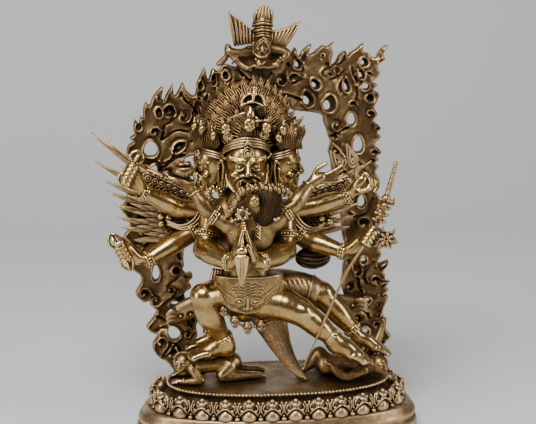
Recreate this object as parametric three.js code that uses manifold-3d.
// Winged wrathful figure with three heads, six arms and four legs, holding a ritual dagger, with a
// consort, cast in brass on an oval lotus base, in front of an openwork arch of flames.
// Millimetres, +Z up. The front faces -Y and the origin is the middle of the base's underside.
import * as THREE from 'three';
import { mergeVertices } from 'three/addons/utils/BufferGeometryUtils.js';
import Module from 'manifold-3d';

const wasm = await Module();
wasm.setup();

// Driving sizes
const gap = 0.35; // left between pieces that touch
const baseHalfWidth = 99.5;
const baseDepthShare = 0.443; // the base's depth over its width
const baseSquareness = 2.3; // 2 makes the base an ellipse, and more makes it squarer
const baseHeight = 38;
const discHalfWidth = 78.5;
const petalCount = 26;
const petalHalfWidth = 86;
const standsBack = 6; // how far the figures and the arch stand behind the base's middle
const archFront = 18;
const archBack = 24;
const reliefDepth = 2.2;
const hollowDepth = 3.4;
const mainHeadSize = 1.1;
const sideHeadSize = 0.92;
const sideHeadTurn = 72;

const polished = new THREE.MeshStandardMaterial({ color: 0xb8923f, roughness: 0.3, metalness: 1 });
const aged = new THREE.MeshStandardMaterial({ color: 0x7d5f38, roughness: 0.45, metalness: 1 });
const reddish = new THREE.MeshStandardMaterial({ color: 0x8c5a3c, roughness: 0.4, metalness: 1 });

const statue = new THREE.Group();
const onDisc = new THREE.Group();
onDisc.position.y = standsBack;
statue.add(onDisc);
let clearance = 0; // added to every radius while a swollen copy of a piece is made

// Solids from geometry

function solid(geometry) {
  geometry.deleteAttribute('normal');
  geometry.deleteAttribute('uv');
  const merged = mergeVertices(geometry, 1e-4);
  return new wasm.Manifold(new wasm.Mesh({
    numProp: 3,
    vertProperties: new Float32Array(merged.attributes.position.array),
    triVerts: new Uint32Array(merged.index.array),
  }));
}

function join(...parts) {
  return parts.flat(Infinity).reduce((whole, part) => whole.add(part));
}

function swollen(make) {
  clearance = gap;
  const shape = make();
  clearance = 0;
  return shape;
}

function addPiece(name, shape, material, carrier = onDisc) {
  const { vertProperties, triVerts } = shape.getMesh();
  const geometry = new THREE.BufferGeometry();
  geometry.setAttribute('position', new THREE.BufferAttribute(vertProperties, 3));
  geometry.setIndex(new THREE.BufferAttribute(triVerts, 1));
  const mesh = new THREE.Mesh(geometry, material);
  mesh.name = name;
  carrier.add(mesh);
}

// A closed mesh through rings of equal size, with a point at each end
function skin(rings, start, end) {
  const sides = rings[0].length;
  const points = [start, ...rings.flat(), end];
  const faces = [];
  const at = (ring, k) => 1 + ring * sides + (k % sides);
  for (let k = 0; k < sides; k++) {
    faces.push(0, at(0, k + 1), at(0, k));
    for (let ring = 0; ring + 1 < rings.length; ring++) {
      faces.push(at(ring, k), at(ring, k + 1), at(ring + 1, k + 1));
      faces.push(at(ring, k), at(ring + 1, k + 1), at(ring + 1, k));
    }
    faces.push(points.length - 1, at(rings.length - 1, k), at(rings.length - 1, k + 1));
  }
  const geometry = new THREE.BufferGeometry().setFromPoints(points);
  geometry.setIndex(faces);
  return solid(geometry);
}

// A round bar along points, with a radius at each. Flat is its second width over its first.
function tube(points, radii, { sides = 6, flat = 1 } = {}) {
  const path = points.map((point) => new THREE.Vector3(...point));
  const last = path.length - 1;
  const along = path.map((_, i) =>
    path[Math.min(i + 1, last)].clone().sub(path[Math.max(i - 1, 0)]).normalize());
  const reference = new THREE.Vector3(...(Math.abs(along[0].y) > 0.8 ? [1, 0, 0] : [0, 1, 0]));
  let across = along[0].clone().cross(reference).normalize();
  const rings = path.map((centre, i) => {
    across = across.clone().addScaledVector(along[i], -across.dot(along[i])).normalize();
    const deep = along[i].clone().cross(across);
    return Array.from({ length: sides }, (_, k) => {
      const angle = (2 * Math.PI * (k + 0.5)) / sides;
      const wide = radii[i] + clearance;
      const thick = radii[i] * flat + clearance;
      return centre.clone()
        .addScaledVector(across, Math.cos(angle) * wide)
        .addScaledVector(deep, Math.sin(angle) * thick);
    });
  });
  const cap = 0.6;
  const start = path[0].clone().addScaledVector(along[0], -(radii[0] * flat * cap + clearance));
  const end = path[last].clone().addScaledVector(along[last], radii[last] * flat * cap + clearance);
  return skin(rings, start, end);
}

// A straight tapered bar, its radii spread evenly from one end to the other
function bone(from, to, radii, options) {
  const points = radii.map((_, i) =>
    from.map((value, axis) => value + ((to[axis] - value) * i) / (radii.length - 1)));
  return tube(points, radii, options);
}

function ball(centre, radii, { sides = 7, rows = 4 } = {}) {
  const geometry = new THREE.SphereGeometry(1, sides, rows);
  geometry.rotateX(Math.PI / 2);
  geometry.scale(...radii.map((radius) => radius + clearance));
  geometry.translate(...centre);
  return solid(geometry);
}

// An outline in the XZ plane made into a plate between two depths
function plate(outline, front, back) {
  const shape = new THREE.Shape(outline.map(([x, z]) => new THREE.Vector2(x, z)));
  const geometry = new THREE.ExtrudeGeometry(shape, { depth: back - front, bevelEnabled: false });
  geometry.rotateX(Math.PI / 2);
  geometry.translate(0, back, 0);
  return solid(geometry);
}

function block(low, high) {
  const geometry = new THREE.BoxGeometry(...high.map((value, i) => value - low[i]));
  geometry.translate(...high.map((value, i) => (value + low[i]) / 2));
  return solid(geometry);
}

// Everything above the top of the base, which the pieces that stand on it are cut to
function aboveBase() {
  return block([-200, -100, baseHeight + gap], [200, 100, 400]);
}

// Lotus base: a stepped oval foot, a ring of petals and a plain disc

const footSteps = [
  [0, baseHalfWidth], [8.5, baseHalfWidth], [10, 97], [11.5, 98.3], [15, 98], [16.5, 95.5], [21, 93.5],
];

// Height and half width of the petal ring between two petals, and how far a petal stands out there
const petalSteps = [
  { valley: [20, 86], crest: [20, 4] },
  { valley: [26, 86.5], crest: [26, 5.5] },
  { valley: [32, 80], crest: [35.5, 4] },
  { valley: [33, 77], crest: [36.2, 2] },
];

// A point of the base's squarish oval, moved outwards by a swell
function ovalPoint(halfWidth, angle, height, swell = 0) {
  const signedPower = (value, power) => Math.sign(value) * Math.abs(value) ** power;
  const halfDepth = halfWidth * baseDepthShare;
  const across = signedPower(Math.cos(angle), 2 / baseSquareness);
  const along = signedPower(Math.sin(angle), 2 / baseSquareness);
  const outward = new THREE.Vector3(
    signedPower(across, baseSquareness - 1) / halfWidth,
    signedPower(along, baseSquareness - 1) / halfDepth,
    0,
  ).normalize();
  return new THREE.Vector3(halfWidth * across, halfDepth * along, height).addScaledVector(outward, swell);
}

function ovalStack(steps, sides) {
  const rings = steps.map(([height, halfWidth]) =>
    Array.from({ length: sides }, (_, k) => ovalPoint(halfWidth, (2 * Math.PI * k) / sides, height)));
  const top = steps[steps.length - 1][0];
  return skin(rings, new THREE.Vector3(0, 0, steps[0][0]), new THREE.Vector3(0, 0, top));
}

// Angles that part an oval's edge into equal lengths
function evenAngles(count, halfWidth) {
  const fine = 1440;
  const lengths = [0];
  for (let i = 1; i <= fine; i++) {
    const from = ovalPoint(halfWidth, (2 * Math.PI * (i - 1)) / fine, 0);
    lengths.push(lengths[i - 1] + from.distanceTo(ovalPoint(halfWidth, (2 * Math.PI * i) / fine, 0)));
  }
  return Array.from({ length: count }, (_, k) => {
    const wanted = (lengths[fine] * k) / count;
    return (2 * Math.PI * lengths.findIndex((length) => length >= wanted)) / fine;
  });
}

// Three points a petal: one between it and the next, and two on it
function petalRing() {
  const angles = evenAngles(petalCount * 3, petalHalfWidth);
  const rings = petalSteps.map(({ valley, crest }) => angles.map((angle, k) => (
    k % 3 === 0
      ? ovalPoint(valley[1], angle, valley[0])
      : ovalPoint(valley[1], angle, crest[0], crest[1])
  )));
  return skin(rings, new THREE.Vector3(0, 0, 20), new THREE.Vector3(0, 0, 36));
}

// The lugs behind the disc carry the arch's two feet
function lotusBase() {
  const disc = ovalStack([[30, discHalfWidth], [baseHeight, discHalfWidth]], 36);
  const lugBack = archBack + standsBack + 1;
  const lugDepth = 20;
  const lugs = [[-72, -50], [57, 80]].map(([left, right]) =>
    block([left, lugBack - lugDepth, 30], [right, lugBack, baseHeight]));
  return join(ovalStack(footSteps, 32), petalRing(), disc, lugs);
}

// Head of the wrathful figure, made facing -Y and then turned about Z
function head(centre, turnDegrees, size) {
  const turn = THREE.MathUtils.degToRad(turnDegrees);
  const place = ([x, y, z]) => [
    centre[0] + size * (x * Math.cos(turn) - y * Math.sin(turn)),
    centre[1] + size * (x * Math.sin(turn) + y * Math.cos(turn)),
    centre[2] + size * z,
  ];
  const mirrored = (make) => [make(-1), make(1)];
  return [
    tube([[0, -5, -16], [0, -3, -9], [0, 0, 2], [0, 1, 13]].map(place),
      [5, 10.5, 13.3, 10].map((radius) => radius * size), { sides: 8 }),
    bone(place([0, -11.5, 6]), place([0, -14.5, -2]), [1.6, 3.2], { sides: 4 }),
    mirrored((side) => ball(place([side * 5.6, -10.4, 4]), [3.2, 2.8, 2.6], { sides: 5, rows: 3 })),
    bone(place([-5, -10.5, -8.3]), place([5, -10.5, -8.3]), [2.2, 2.2], { sides: 4 }),
  ];
}

function skull([x, y, z], radius) {
  return bone([x, y, z], [x, y - 0.5, z - radius * 1.2], [radius, radius * 0.6], { sides: 5 });
}

const faces = { main: [-22.2, -10, 190.5], left: [-43.5, 1, 188.3], right: [2.5, 1, 187.2] };

// Hair that stands up like flames, a fan of locks over a dome, behind the crown
function hair() {
  const root = [-18, 1, 202];
  const count = 13;
  const locks = Array.from({ length: count }, (_, i) => {
    const spread = ((i / (count - 1)) * 2 - 1) * 1.3;
    const reach = 41 + 9 * Math.cos(spread) ** 3;
    const along = (share) =>
      [root[0] + Math.sin(spread) * reach * share, root[1], root[2] + Math.cos(spread) * reach * share];
    return bone(along(0.6), along(1), [5.4, 0.9], { sides: 4 });
  });
  const front = ball([-20.5, -6, 211], [24, 13.5, 15], { sides: 9, rows: 5 });
  return [ball([-18.5, 3, 212], [32, 13, 27], { sides: 10, rows: 6 }), front, locks];
}

// Skulls along the crown, with a half thunderbolt on a drop above the middle
function crown() {
  const skulls = [
    [-37, -13, 215], [-29, -17, 215], [-21.2, -19, 217], [-14, -18, 215], [-6.5, -14, 215],
  ];
  const stack = [[-20, -13, 220], [-20, -16, 228], [-19, -14, 235], [-17.6, -13, 243], [-16.6, -13, 250]];
  return [
    skulls.map((centre) => skull(centre, 3.4)),
    tube(stack, [3.4, 4.6, 2, 3.6, 0.8]),
    tube([[-24.5, -14, 241], [-19, -14, 236], [-13.5, -14, 241]], [0.7, 1.8, 0.7], { sides: 4 }),
  ];
}

// A sceptre with a bud at each end, pointing along a direction
function thunderbolt(centre, direction, length) {
  const way = new THREE.Vector3(...direction).setLength(length / 2);
  const from = centre.map((value, i) => value - way.getComponent(i));
  const to = centre.map((value, i) => value + way.getComponent(i));
  return bone(from, to, [0.6, 4, 3.4, 1.6, 3.4, 4, 0.6], { sides: 5 });
}

// One bent bar from shoulder to wrist, swelling in the forearm, and on through the hand
function arm([shoulder, elbow, wrist, ...hand], radius, handRadii) {
  const forearm = elbow.map((value, i) => (value + wrist[i]) / 2);
  return tube([shoulder, elbow, forearm, wrist, ...hand],
    [...[1.25, 1.02, 1.14, 0.74].map((share) => share * radius), ...handRadii]);
}

function finger(points, radius) {
  return tube(points, points.map(() => radius), { sides: 4 });
}

function outerArms() {
  const upperLeft = [
    [-48, 3, 157], [-68.2, 0, 161], [-89.5, -8, 172.6], [-93, -10, 178], [-92, -16, 187], [-97, -18, 191],
  ];
  const middleLeft = [
    [-50, 3, 148], [-64.4, 0, 140.4], [-88.3, -12, 130.1], [-96, -14, 132], [-104, -17, 139],
    [-111, -20, 137],
  ];
  const upperRight = [
    [8, 3, 156], [28.9, 2, 159.5], [48.1, -4, 166.8], [52, -6, 173], [56, -9, 182], [60, -10, 190],
  ];
  const middleRight = [
    [7, 3, 148], [20.3, 0, 136.6], [43.2, -12, 130.6], [50, -14.5, 133], [58, -14, 137], [66, -14, 142],
  ];
  const armRadius = 6.4;
  const fingerRadius = 2.2;
  const handRadii = [4.8, 3, 2];
  return [
    [upperLeft, middleLeft, upperRight, middleRight].map((joints) => arm(joints, armRadius, handRadii)),
    finger([[-94, -11, 177], [-99, -14, 185], [-103, -18, 188]], fingerRadius),
    thunderbolt([-100, -15, 192.5], [-12.6, -4, -19], 27),
    finger([[-96, -14, 130], [-104, -16, 131], [-111, -19, 132]], fingerRadius),
    thunderbolt([-108.4, -19, 135.8], [-12, 0, 24], 30),
    finger([[52, -6.5, 173], [50, -9, 180], [48, -12, 185]], fingerRadius),
    finger([[50, -14.5, 134], [50, -17, 140], [57, -20, 145]], fingerRadius),
  ];
}

// The two front arms go round the consort and press their palms together on the dagger
function innerArms() {
  const armRadius = 7.4;
  const handRadii = [5.2, 4.6, 1];
  const left = [
    [-49, -4, 155], [-51.5, -15, 135.5], [-34, -42, 133], [-28.5, -45, 138], [-27, -47, 149],
    [-25.5, -48, 160],
  ];
  const right = [
    [6, -4, 155], [3.5, -15, 132.5], [-16, -42, 132], [-22, -45, 138], [-24, -47, 149], [-25.2, -48, 160],
  ];
  return [arm(left, armRadius, handRadii), arm(right, armRadius, handRadii)];
}

// One bent bar through hip, knee, calf, ankle, heel and toes
function leg([hip, knee, ankle, heel, toes], size) {
  const calf = knee.map((value, i) => (value + ankle[i]) / 2);
  return tube([hip, knee, calf, ankle, heel, toes], [10.6, 8.6, 9, 5.2, 5, 4].map((radius) => radius * size));
}

function legs() {
  return [
    leg([[-28, -8, 102], [-53, -25, 105], [-38.5, -14, 71], [-37, -13, 61.5], [-58, -17, 58.5]], 1),
    leg([[-32, 4, 100], [-49, 8, 92], [-45, 9, 68], [-45, 8, 61], [-62, 6, 62]], 0.85),
    leg([[-16, -13, 97], [15, -25, 90.5], [35.5, -26, 73], [38, -26.5, 66.5], [58.5, -30, 57]], 0.96),
    leg([[-6, 2, 101], [31, -5, 97.5], [53, -8, 71], [56, -8, 64.5], [78, -10, 55]], 0.96),
  ];
}

function tail() {
  return tube([[-12, 0, 96], [-6, -2, 82], [0, -5, 66], [8, -10, 52], [20, -15, baseHeight - 1]],
    [12, 11.5, 10, 7, 1.5], { flat: 0.62 });
}

// Legs of the flayed hide that hangs behind the hips, each with two claws
function hide() {
  const paws = [
    { from: [4, 7, 95], middle: [36, 11, 89], wrist: [56, 11, 85], side: 1, radii: [6.5, 5.8, 5.2] },
    { from: [-34, 8, 95], middle: [-56, 11, 87], wrist: [-68, 11, 80], side: -1, radii: [6.5, 7.5, 7] },
  ];
  return paws.map(({ from, middle, wrist, side, radii }) => [
    tube([from, middle, wrist], radii, { flat: 0.6 }),
    [-3, 3].map((lift) => bone(
      [wrist[0], wrist[1], wrist[2] + lift * 0.5],
      [wrist[0] + side * 9, wrist[1] - 2, wrist[2] - 3 + lift], [2.2, 0.8], { sides: 4 })),
  ]);
}

// A rope of small severed heads that swings below the apron
function garland() {
  const heads = [
    [-39.6, -22, 95.9], [-31.6, -22, 87], [-22.8, -22, 82], [-13.1, -20, 82.5], [-1.5, -18, 87.5],
  ];
  const rope = [[-46, -16, 106], ...heads, [8, -16, 97]];
  return [
    tube(rope, rope.map(() => 1.6), { sides: 4 }),
    heads.map((centre) => ball(centre, [4, 3.8, 4.6], { sides: 5, rows: 3 })),
  ];
}

function torso() {
  const spine = [
    [-22, 1, 94], [-21.5, 1, 104], [-21, 2, 116], [-21, 1, 132], [-21, 0, 148], [-21.5, 0, 160],
    [-22, -4, 180],
  ];
  return [
    tube(spine, [15, 19, 16, 19, 25, 22, 10], { sides: 8, flat: 0.62 }),
    ball([-22, 0, 100], [20, 12, 12]),
  ];
}

// Scarf ends on both sides of the chest, an earring and the cloth that hangs from an arm
function drapery() {
  return [
    tube([[-45, -1, 186], [-42.5, -10, 176], [-44, -9, 169]], [2, 3.6, 2], { sides: 4 }),
    tube([[-53, -2, 162], [-59, -3, 153], [-67, -2, 150], [-75, -1, 152]], [2.2, 2.4, 2.4, 2], { sides: 4 }),
    tube([[11, -2, 162], [16, -3, 151], [25, -2, 146], [33, -1, 150]], [2.2, 2.4, 2.4, 2], { sides: 4 }),
    ball([25.5, 2, 122.5], [13, 5, 8.5]),
  ];
}

function deity() {
  return join(
    torso(),
    head(faces.main, 0, mainHeadSize),
    head(faces.left, -sideHeadTurn, sideHeadSize),
    head(faces.right, sideHeadTurn, sideHeadSize),
    hair(),
    crown(),
    outerArms(),
    innerArms(),
    legs(),
    tail(),
    hide(),
    garland(),
    drapery(),
  );
}

// Consort, seen from behind: head thrown back, a skull cup and a noose in the raised hands
function consort() {
  const apronMiddle = [-21.8, -23, 114];
  const apron = ball(apronMiddle, [24, 9.5, 22.5], { sides: 10, rows: 8 })
    .subtract(block([-60, -60, 119], [20, 10, 150]));
  const skullCup = [-65.5, -24, 193.5];
  return join(
    tube([[-22, -24, 112], [-23, -25, 128], [-21.5, -28, 146], [-20.5, -29, 158], [-17, -30, 166]],
      [15, 11.5, 15, 18, 6], { sides: 7, flat: 0.5 }),
    apron,
    ball([-16, -33, 170], [10.5, 9.5, 10.5], { sides: 8, rows: 5 }),
    tube([[-12, -40, 175], [-9, -43, 165], [-12, -41, 155]], [6, 7, 2], { flat: 0.7 }),
    arm([[-33, -29, 157], [-50, -27, 166], [-59, -24, 178.5], [-63, -24, 188]], 4.8, [4.2]),
    arm([[-9, -29, 158], [7, -26, 167], [22, -18, 180.5], [29, -17, 184], [37, -17, 190]], 4.8, [4.2, 1.8]),
    ball(skullCup, [8, 6.8, 5.8]),
    tube([[-72, -24, 196.5], [-66, -26, 199.5], [-60, -24, 196]], [2, 2.6, 2], { sides: 4 }),
    finger([[27, -17, 183], [33, -17, 183], [39, -17, 187]], 1.9),
    noose(),
  );
}

// A twisted noose with two drop-shaped loops
function noose() {
  const loops = [[40.5, 197.5, 4.8, 7.2], [49, 197.5, 4.4, 6.8]];
  const stem = tube([[34, -18, 188], [39, -17, 191], [45, -16, 191]], [1.8, 1.8, 1.8], { sides: 4 });
  return [stem, loops.map(([x, z, wide, tall]) => {
    const geometry = new THREE.TorusGeometry(1, 0.3, 4, 9);
    geometry.rotateX(Math.PI / 2);
    geometry.scale(wide + clearance, 5 + clearance, tall + clearance);
    geometry.translate(x, -16, z);
    return solid(geometry);
  })];
}

function dagger() {
  return join(
    bone([-29.6, -54.5, 142], [-29.1, -51, 119], [4.4, 3.6, 2.6, 1.2], { sides: 3 }),
    ball([-29, -51.5, 143.5], [4.4, 4, 3.6], { sides: 6 }),
  );
}

// Long thin staff with a bamboo-like head, a bulb under it and a flower on a short stem
function staff() {
  const flower = [72, -19, 141.5];
  const star = Array.from({ length: 10 }, (_, k) => {
    const reach = (k % 2 ? 4.4 : 9) + clearance;
    return [flower[0] + Math.sin((k * Math.PI) / 5) * reach, flower[2] + Math.cos((k * Math.PI) / 5) * reach];
  });
  return join(
    tube([
      [79.7, -16, 192.7], [77.4, -16.6, 184], [73.5, -17.8, 170], [70, -18.5, 160], [66.8, -19.2, 152],
      [63.2, -21, 144.2], [45.3, -28, 120.9], [14.8, -38, 57.7],
    ], [0.8, 1.8, 2.4, 4.4, 2.2, 1.7, 1.3, 0.9]),
    bone([66, -19.5, 149], flower, [1.6, 1.6], { sides: 4 }),
    plate(star, flower[1] - 1.6 - clearance, flower[1] + 1.6 + clearance),
  );
}

// Wings: a bent arm with long feathers and a row of short ones over them

function feather(root, tip, width) {
  return bone(root, tip, [width * 0.7, width, width * 0.8, 0.5], { sides: 4, flat: 0.4 });
}

function wing(roots, tips, edge, beads) {
  const mix = (a, b, share) => a.map((value, i) => value + (b[i] - value) * share);
  const row = (from, to, depth, width) => tips.map((tip, i) => {
    const root = mix(roots[0], roots[1], i / (tips.length - 1));
    const start = mix(root, tip, from);
    const end = mix(root, tip, to);
    return feather([start[0], start[1] + depth, start[2]], [end[0], end[1] + depth, end[2]], width);
  });
  return join(
    row(0, 1, 0, 4.4),
    row(0.02, 0.55, -2.2, 4.6).filter((_, i) => i % 2 === 1),
    tube(edge, edge.map((_, i) => 5.4 - i * 0.9), { flat: 0.7 }),
    beads.map((centre) => ball(centre, [2.9, 2.9, 2.9], { sides: 5, rows: 3 })),
  );
}

function leftWing() {
  return wing([[-50, 13, 166], [-52, 13, 144]], [
    [-126.8, 10, 213.3], [-124, 11, 192.4], [-119.6, 11, 180], [-115.7, 11, 171], [-111.8, 11, 161.8],
    [-109.9, 11, 152.6], [-107.3, 11, 145.4], [-98.6, 11, 136.5],
  ], [[-40, 12, 156], [-62, 11, 170], [-88, 10, 184]], [
    [-79, 8, 160], [-73.5, 8, 157], [-79, 8, 153.6], [-73.5, 8, 150.5],
  ]);
}

function rightWing() {
  return wing([[5, 13, 159], [8, 13, 142]], [
    [67.6, 10, 189.5], [65.7, 11, 178.1], [60.9, 11, 166.8], [58.1, 11, 158.6], [56.1, 11, 150],
    [52.7, 11, 142],
  ], [[0, 12, 156], [24, 11, 166], [50, 10, 176]], [
    [30.4, 9, 157.6], [36.7, 9, 156], [31.2, 9, 150.4], [36.8, 9, 148.5],
  ]);
}

// Bird of the sky on the crest of the arch, with a fan of feathers for its tail and for each wing. It
// pulls a snake through its beak with both hands, and one more hangs over its arm.
function crestBird() {
  const fans = [
    [[-14.7, 284], [-13.3, 292], [-11.5, 295.5], [-8.1, 297.4], [-4, 296], [-0.9, 292], [-1.8, 284]],
    [[-30.4, 292.7], [-28, 272.7], [-20, 269.3], [-10, 270], [-11, 280]],
    [[17.6, 285.8], [-5, 281], [-6, 270], [0, 268], [6.7, 266.9]],
  ];
  const hands = [
    [[-14, 12, 268], [-27, 10, 269.5], [-30, 8, 265], [-22, 5, 259.5], [-17, 3, 256.5]],
    [[-3, 12, 268], [7, 11, 264.5], [5, 8, 261], [1, 5, 258], [-2, 3, 256.5]],
  ];
  const snakes = [
    [[-19, 3, 256.5], [-14.5, 1, 258], [-11, 0, 257.5], [-7, 1, 257.5], [-1, 3, 256.5]],
    [[-39.5, 10, 262], [-37, 9.5, 258.8], [-32, 9.5, 260.5], [-28, 9, 265]],
  ];
  return join(
    tube([[-8.5, 17, 258], [-8.4, 14, 266], [-8.4, 13.5, 276], [-8.2, 14.5, 287]], [6, 6.8, 6.4, 5]),
    ball([-10, 7, 268.5], [5.9, 5.8, 6.8]),
    bone([-10.8, 2, 266], [-12, -1, 258.5], [2.6, 1], { sides: 4 }),
    fans.map((outline) => plate(outline, 13 - clearance, 16.5 + clearance)),
    hands.map((points) => tube(points, [4, 4, 3.4, 2.6, 2], { sides: 5 })),
    snakes.map((points) => tube(points, points.map((_, i) => 1.5 + (i === 0) * 0.6), { sides: 4 })),
  );
}

// Arch of flames. Its outer edge runs from the left foot over the top to the right foot, with a hooked tip
// on each tongue of flame, and its inner edge comes back down to the left foot.
const archOuterEdge = [
  [-71.5, 37], [-77.5, 44], [-81.5, 46], [-86.5, 53], [-86.5, 58], [-82.5, 64], [-86.5, 65], [-91, 70],
  [-86.5, 76], [-83.5, 82], [-88, 86], [-88.5, 89], [-92.5, 88], [-98, 94], [-97, 98], [-94, 103],
  [-94.5, 108], [-98.5, 111], [-104, 118], [-99, 123], [-100, 130], [-105.5, 137], [-101.5, 142],
  [-102.5, 150], [-107.5, 157], [-103.5, 162], [-103.5, 171], [-108, 180], [-103.5, 183], [-102.5, 193],
  [-101.5, 201], [-97.5, 204], [-100, 207], [-96.5, 209], [-97.5, 213], [-96, 219.5], [-93.5, 216],
  [-92.5, 222], [-90.5, 220], [-90.5, 226], [-88.5, 231.5], [-86, 229], [-83.5, 235], [-77.5, 242],
  [-76.5, 239], [-77.5, 235.5], [-76, 232], [-74.5, 236], [-69.5, 244], [-69.5, 239], [-68.5, 235.5],
  [-66, 239], [-63, 245], [-61, 240], [-59, 237.5], [-56.5, 235.5], [-54, 237], [-54, 242.5], [-52, 247],
  [-48, 255], [-46.5, 249], [-45, 246.5], [-42.5, 254], [-38.5, 252], [-34.5, 257], [-26.5, 255],
  [-22.5, 259], [-12.5, 258], [-4.5, 262], [3.5, 259], [9.5, 261], [14.5, 268], [17, 261], [20, 266],
  [26, 270], [24, 264], [25.5, 262.5], [30.5, 266.5], [33.5, 269], [36.5, 268], [42, 271.5], [39.5, 268],
  [41, 263.5], [39.5, 259], [40, 255], [43, 257.5], [45, 262], [49.5, 265], [51, 261], [53, 263.5],
  [57, 266], [62, 270], [61.5, 264.5], [66, 262.5], [67, 260.5], [70.5, 259.5], [72, 262.5], [74.5, 266],
  [79.5, 268.5], [76, 262.5], [77.5, 258.5], [73.5, 255.5], [72, 253], [74, 249], [71, 245], [68.5, 243],
  [72.5, 240.5], [69.5, 237.5], [74, 234], [72, 229], [70, 224.5], [72.5, 220.5], [70, 215.5],
  [75, 210.5], [72.5, 207], [75.5, 204], [73.5, 202], [71, 198.5], [76, 193], [72.5, 190], [74.5, 187],
  [71.5, 185.5], [74.5, 182], [72, 179], [75.5, 171], [72.5, 165], [76.5, 158], [73.5, 151], [77, 144],
  [73.5, 137], [77.5, 129], [75, 123], [77.5, 119], [74.5, 114], [75.5, 111.5], [82, 114], [82, 110.5],
  [78.5, 105.5], [80.5, 103], [80, 99], [84, 98], [81, 94.5], [83, 92], [79.5, 89], [82.5, 87.5],
  [82, 84], [80, 79.5], [79, 74.5], [81.5, 70], [81, 65], [82.5, 60.5], [85, 58], [84, 55], [80, 51],
  [83, 47], [80.5, 42], [79.5, 37],
];
const archInnerEdge = [
  [57.5, 37], [56.5, 49], [55.5, 59], [53.5, 65], [56.5, 70], [54.5, 76], [50.5, 83], [50.5, 89],
  [48, 97], [49, 104], [49.5, 112], [52, 121], [49.5, 130], [48, 139], [47, 149], [44.5, 157],
  [42.5, 167], [41, 177], [39.5, 189], [38, 194], [39.5, 201], [38, 205], [36.5, 210], [34.5, 215],
  [33.5, 220], [25.5, 222.5], [14.5, 224], [3.5, 228], [-10.5, 232], [-26.5, 234], [-38.5, 229],
  [-46.5, 219], [-47.5, 207], [-50.5, 195], [-62, 192], [-60.5, 183], [-57.5, 175], [-59.5, 164],
  [-58.5, 151], [-60.5, 139], [-63, 129], [-64, 121], [-63.5, 115], [-64.5, 111.5], [-62, 108.5],
  [-59, 109.5], [-57.5, 106], [-60.5, 102.5], [-58.5, 98], [-63.5, 94], [-61.5, 87], [-57.5, 81],
  [-54.5, 75], [-55.5, 69], [-54.5, 63], [-56.5, 58], [-52, 54], [-50.5, 47], [-50.5, 37],
];

// Eyes in the flames: middle, half width and half height, lean in degrees, and 1 where it goes right through
const archEyes = [
  [-85.5, 199, 4.6, 5.4, 0, 1], [-84, 182.5, 2.8, 5, -15, 1], [-75, 178, 1.8, 3.4, 0, 1],
  [-84.5, 143, 3, 4.6, 10, 1], [-83.5, 110, 2.4, 5.8, 0, 1], [-70.5, 87, 3.2, 1.7, 0, 1],
  [-71.5, 65, 4, 5.4, 25, 1], [16.5, 256.5, 2.6, 3.2, 0, 1], [28.5, 242.5, 2.7, 4, 30, 1],
  [23.5, 232, 3.5, 5.6, 15, 1], [38.5, 228.5, 4.4, 6, -10, 1], [50.5, 241, 2.1, 4.8, 10, 1],
  [62.5, 257, 2.8, 3, 0, 1], [61, 248.5, 1.9, 3.2, 10, 1], [63.5, 240, 2.6, 2.2, 0, 1],
  [54, 217, 2.9, 4.4, 0, 1], [59, 199, 3.4, 5.8, 0, 1], [62, 158, 2.6, 4.4, 0, 1], [64, 115, 2, 2, 0, 1],
  [66, 84.5, 3.4, 2.2, 20, 1], [66, 61.5, 2.5, 2.5, 0, 1], [-93.5, 215, 1.8, 2.6, 0, 0],
  [-79.5, 224.5, 2, 3.2, 0, 0], [-72, 225.5, 4, 3.6, 0, 0], [-66, 200, 5, 2.6, 35, 0],
  [-69, 111.5, 2.6, 2.6, 0, 0], [-72, 50.5, 2.6, 2.4, 0, 0], [-51, 242.5, 1.9, 2.7, 0, 0],
  [-41.5, 246.5, 1.5, 4, 0, 0], [-33.5, 249.5, 1.9, 2.6, 0, 0], [57, 245, 1.1, 2.8, 0, 0],
  [67, 232, 2.6, 2.6, 0, 0], [16.5, 264, 1.5, 1.8, 0, 0],
];

// Raised curls on the arch: middle, radius and the side they turn to
const archCurls = [
  [-62.5, 221, 4.4, -1], [-82.5, 210.5, 3.6, 1], [-92, 95, 4.1, 1], [-84, 89.5, 3.5, -1],
  [-80.5, 58.5, 4.4, 1], [4.5, 245, 4, -1], [13, 246, 4, 1], [54.5, 227.5, 3, 1], [43.5, 213, 3.8, -1],
  [67, 220.5, 3.5, 1], [59.5, 106, 3.4, -1], [72.5, 99.5, 3.5, 1], [54, 95, 3, -1], [-92, 140, 5, 1],
  [-72, 160, 5, -1], [63, 142, 4.5, 1], [66, 48, 4, -1], [-62, 126, 4, -1],
];

function curl([x, z, radius, turn]) {
  const steps = 5;
  const edge = (widen) => Array.from({ length: steps + 1 }, (_, i) => {
    const share = i / steps;
    const angle = turn * share * 1.8 * Math.PI;
    const reach = radius * (1 - 0.7 * share + widen * (1 - 0.4 * share));
    return [x + Math.cos(angle) * reach, z + Math.sin(angle) * reach];
  });
  return plate([...edge(0.18), ...edge(-0.18).reverse()], archFront - reliefDepth, archFront + 1);
}

function eye([x, z, halfWidth, halfHeight, lean, through]) {
  const sides = 6;
  const rounder = 1.1; // makes up for the corners that a six-sided hole cuts off
  const turn = THREE.MathUtils.degToRad(lean);
  const outline = Array.from({ length: sides }, (_, k) => {
    const angle = (2 * Math.PI * k) / sides;
    const across = halfWidth * rounder * Math.cos(angle);
    const up = halfHeight * rounder * Math.sin(angle);
    return [
      x + across * Math.cos(turn) - up * Math.sin(turn),
      z + across * Math.sin(turn) + up * Math.cos(turn),
    ];
  });
  const back = through ? archBack + 1 : archFront + hollowDepth;
  return plate(outline, archFront - 2 * reliefDepth, back);
}

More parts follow.
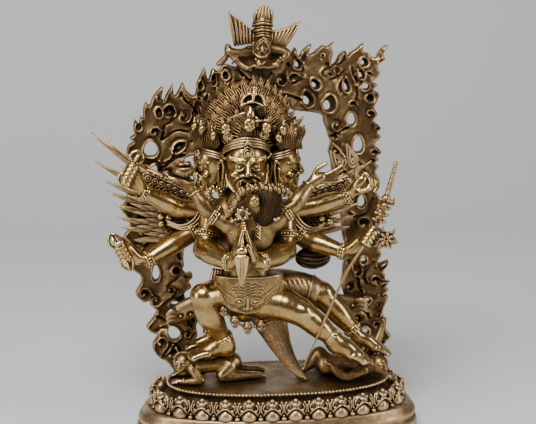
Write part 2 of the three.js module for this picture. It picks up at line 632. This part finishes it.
function flameArch() {
  const band = plate([...archOuterEdge, ...archInnerEdge], archFront, archBack);
  return join(band, archCurls.map(curl)).subtract(join(archEyes.map(eye)));
}

// Small figures under the deity's feet

function crouchingFigure() {
  const flatBar = { sides: 5 };
  return join(
    tube([[-34, -6, 50], [-46, -8, 50.5], [-61, -10, 50.5]], [8, 6.8, 6.6], { flat: 0.85 }),
    ball([-67.5, -10, 53.5], [7, 6.6, 7.6]),
    tube([[-60, -14, 49], [-55, -18, 42], [-65, -15, 41], [-73, -14, 40]], [4, 3.4, 3, 1.8], flatBar),
    tube([[-60, -5, 49], [-56, -1, 43], [-65, 0, 41], [-73, 1, 40]], [4, 3.4, 3, 1.8], flatBar),
    tube([[-35, -10, 49], [-39, -13, 42.5], [-20, -9, 41.5], [-9, -9, 40]], [5.6, 4.6, 3.4, 2], flatBar),
    tube([[-35, -2, 49], [-38, 2, 42.5], [-19, 3, 41.5], [-8, 4, 40]], [5.6, 4.6, 3.4, 2], flatBar),
  );
}

function proneFigure() {
  const bar = { sides: 5 };
  return join(
    tube([[36, -5, 46], [48, -10, 46.5], [64, -15, 47.5]], [8.4, 7, 6.8], { flat: 0.85 }),
    ball([70, -16, 49.5], [7, 6.6, 7.4]),
    tube([[59, -20, 46], [47, -23.5, 43], [37, -23, 49], [33, -22.5, 54]], [4, 3.6, 3, 3.4], bar),
    tube([[58, -12, 48], [66, -2, 52], [72, 3, 60], [77.5, 7, 73]], [4, 3.6, 3.2, 2.6], bar),
    tube([[36, -6, 46], [31, -1, 53], [23, 0, 43], [16, -3, 40]], [6, 4.8, 3.4, 2], bar),
    tube([[36, 0, 45], [46, 10, 42], [29, 14, 41]], [5.4, 4.2, 2.6], bar),
  );
}

// Each piece is cut by a swollen copy of the ones it touches, so that a thin gap is left
const looseStaff = swollen(staff);
const deityBody = deity().subtract(looseStaff).intersect(aboveBase());
const looseDeity = swollen(deity);
const looseBird = swollen(crestBird);
const consortBody = consort().subtract(looseDeity);
const looseConsort = swollen(consort);
const leftWingBody = leftWing().subtract(looseDeity);
const rightWingBody = rightWing().subtract(looseDeity);
const looseWings = join(swollen(leftWing), swollen(rightWing));

addPiece('lotus_base', lotusBase(), aged, statue);
addPiece('flame_arch',
  flameArch().subtract(looseBird).subtract(looseDeity).subtract(looseWings).intersect(aboveBase()), aged);
addPiece('crest_bird', crestBird(), polished);
addPiece('deity', deityBody, polished);
addPiece('consort', consortBody, polished);
addPiece('left_wing', leftWingBody, aged);
addPiece('right_wing', rightWingBody, aged);
addPiece('dagger', dagger().subtract(looseDeity).subtract(looseConsort), polished);
addPiece('skull_staff', staff(), reddish);
addPiece('crouching_figure', crouchingFigure().subtract(looseDeity).intersect(aboveBase()), polished);
addPiece('prone_figure', proneFigure().subtract(looseDeity).intersect(aboveBase()), polished);

export default statue;
